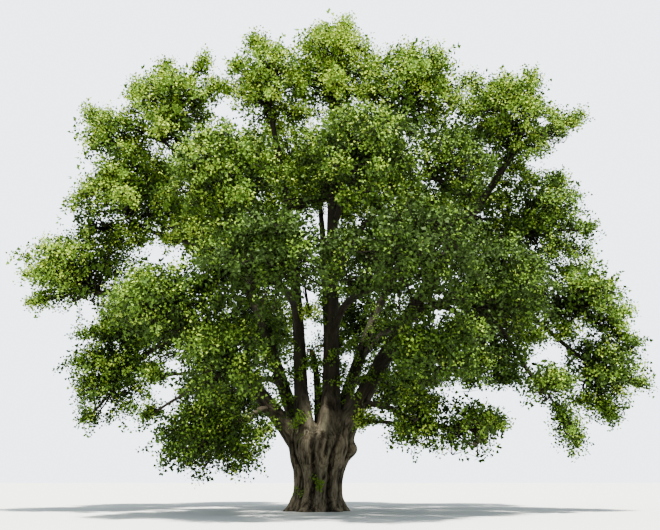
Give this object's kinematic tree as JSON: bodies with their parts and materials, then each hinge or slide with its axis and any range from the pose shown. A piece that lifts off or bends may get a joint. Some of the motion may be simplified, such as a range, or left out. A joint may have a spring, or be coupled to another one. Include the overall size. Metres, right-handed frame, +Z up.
{
  "type": "american linden",
  "caption": "Broad old linden tree in full leaf: a flared trunk, tapering boughs from a low fork and rounded masses of foliage that form a wide, domed crown.",
  "frame": {"origin": "middle of the trunk's flat cut at ground level", "axes": "+Z up; the side seen in the picture faces -Y, and its right is +X"},
  "size_m": [36.803, 34.1229, 29.4175],
  "materials": {
    "bark": "rough, deeply furrowed grey-brown bark",
    "foliage": "soft satin, mid green to yellow-green leaf"
  },
  "bodies": {
    "root": {"trunk": "bark", "bough_back_left": "bark", "bough_back_left_high": "bark", "bough_back_left_low": "bark", "bough_back_right": "bark", "bough_back_right_high": "bark", "bough_back_right_low": "bark", "bough_front_centre": "bark", "bough_front_high": "bark", "bough_front_left": "bark", "bough_front_left_high": "bark", "bough_front_left_low": "bark", "bough_front_right": "bark", "bough_front_right_low": "bark", "bough_left_hanging": "bark", "bough_left_shoulder": "bark", "bough_left_tip": "bark", "bough_low_left": "bark", "bough_low_right": "bark", "bough_right_drooping": "bark", "bough_right_hanging": "bark", "bough_right_inner": "bark", "bough_right_shoulder": "bark", "bough_right_tip": "bark", "bough_top": "bark", "bough_top_back": "bark", "bough_top_left": "bark", "bough_top_right": "bark", "bough_upper_left": "bark", "bough_upper_right": "bark", "foliage_back_left": "foliage", "foliage_back_left_high": "foliage", "foliage_back_left_low": "foliage", "foliage_back_right": "foliage", "foliage_back_right_high": "foliage", "foliage_back_right_low": "foliage", "foliage_front_centre": "foliage", "foliage_front_high": "foliage", "foliage_front_left": "foliage", "foliage_front_left_high": "foliage", "foliage_front_left_low": "foliage", "foliage_front_right": "foliage", "foliage_front_right_low": "foliage", "foliage_left_hanging": "foliage", "foliage_left_shoulder": "foliage", "foliage_left_tip": "foliage", "foliage_low_left": "foliage", "foliage_low_right": "foliage", "foliage_right_drooping": "foliage", "foliage_right_hanging": "foliage", "foliage_right_inner": "foliage", "foliage_right_shoulder": "foliage", "foliage_right_tip": "foliage", "foliage_top": "foliage", "foliage_top_back": "foliage", "foliage_top_left": "foliage", "foliage_top_right": "foliage", "foliage_upper_left": "foliage", "foliage_upper_right": "foliage"}
  },
  "joints": []
}
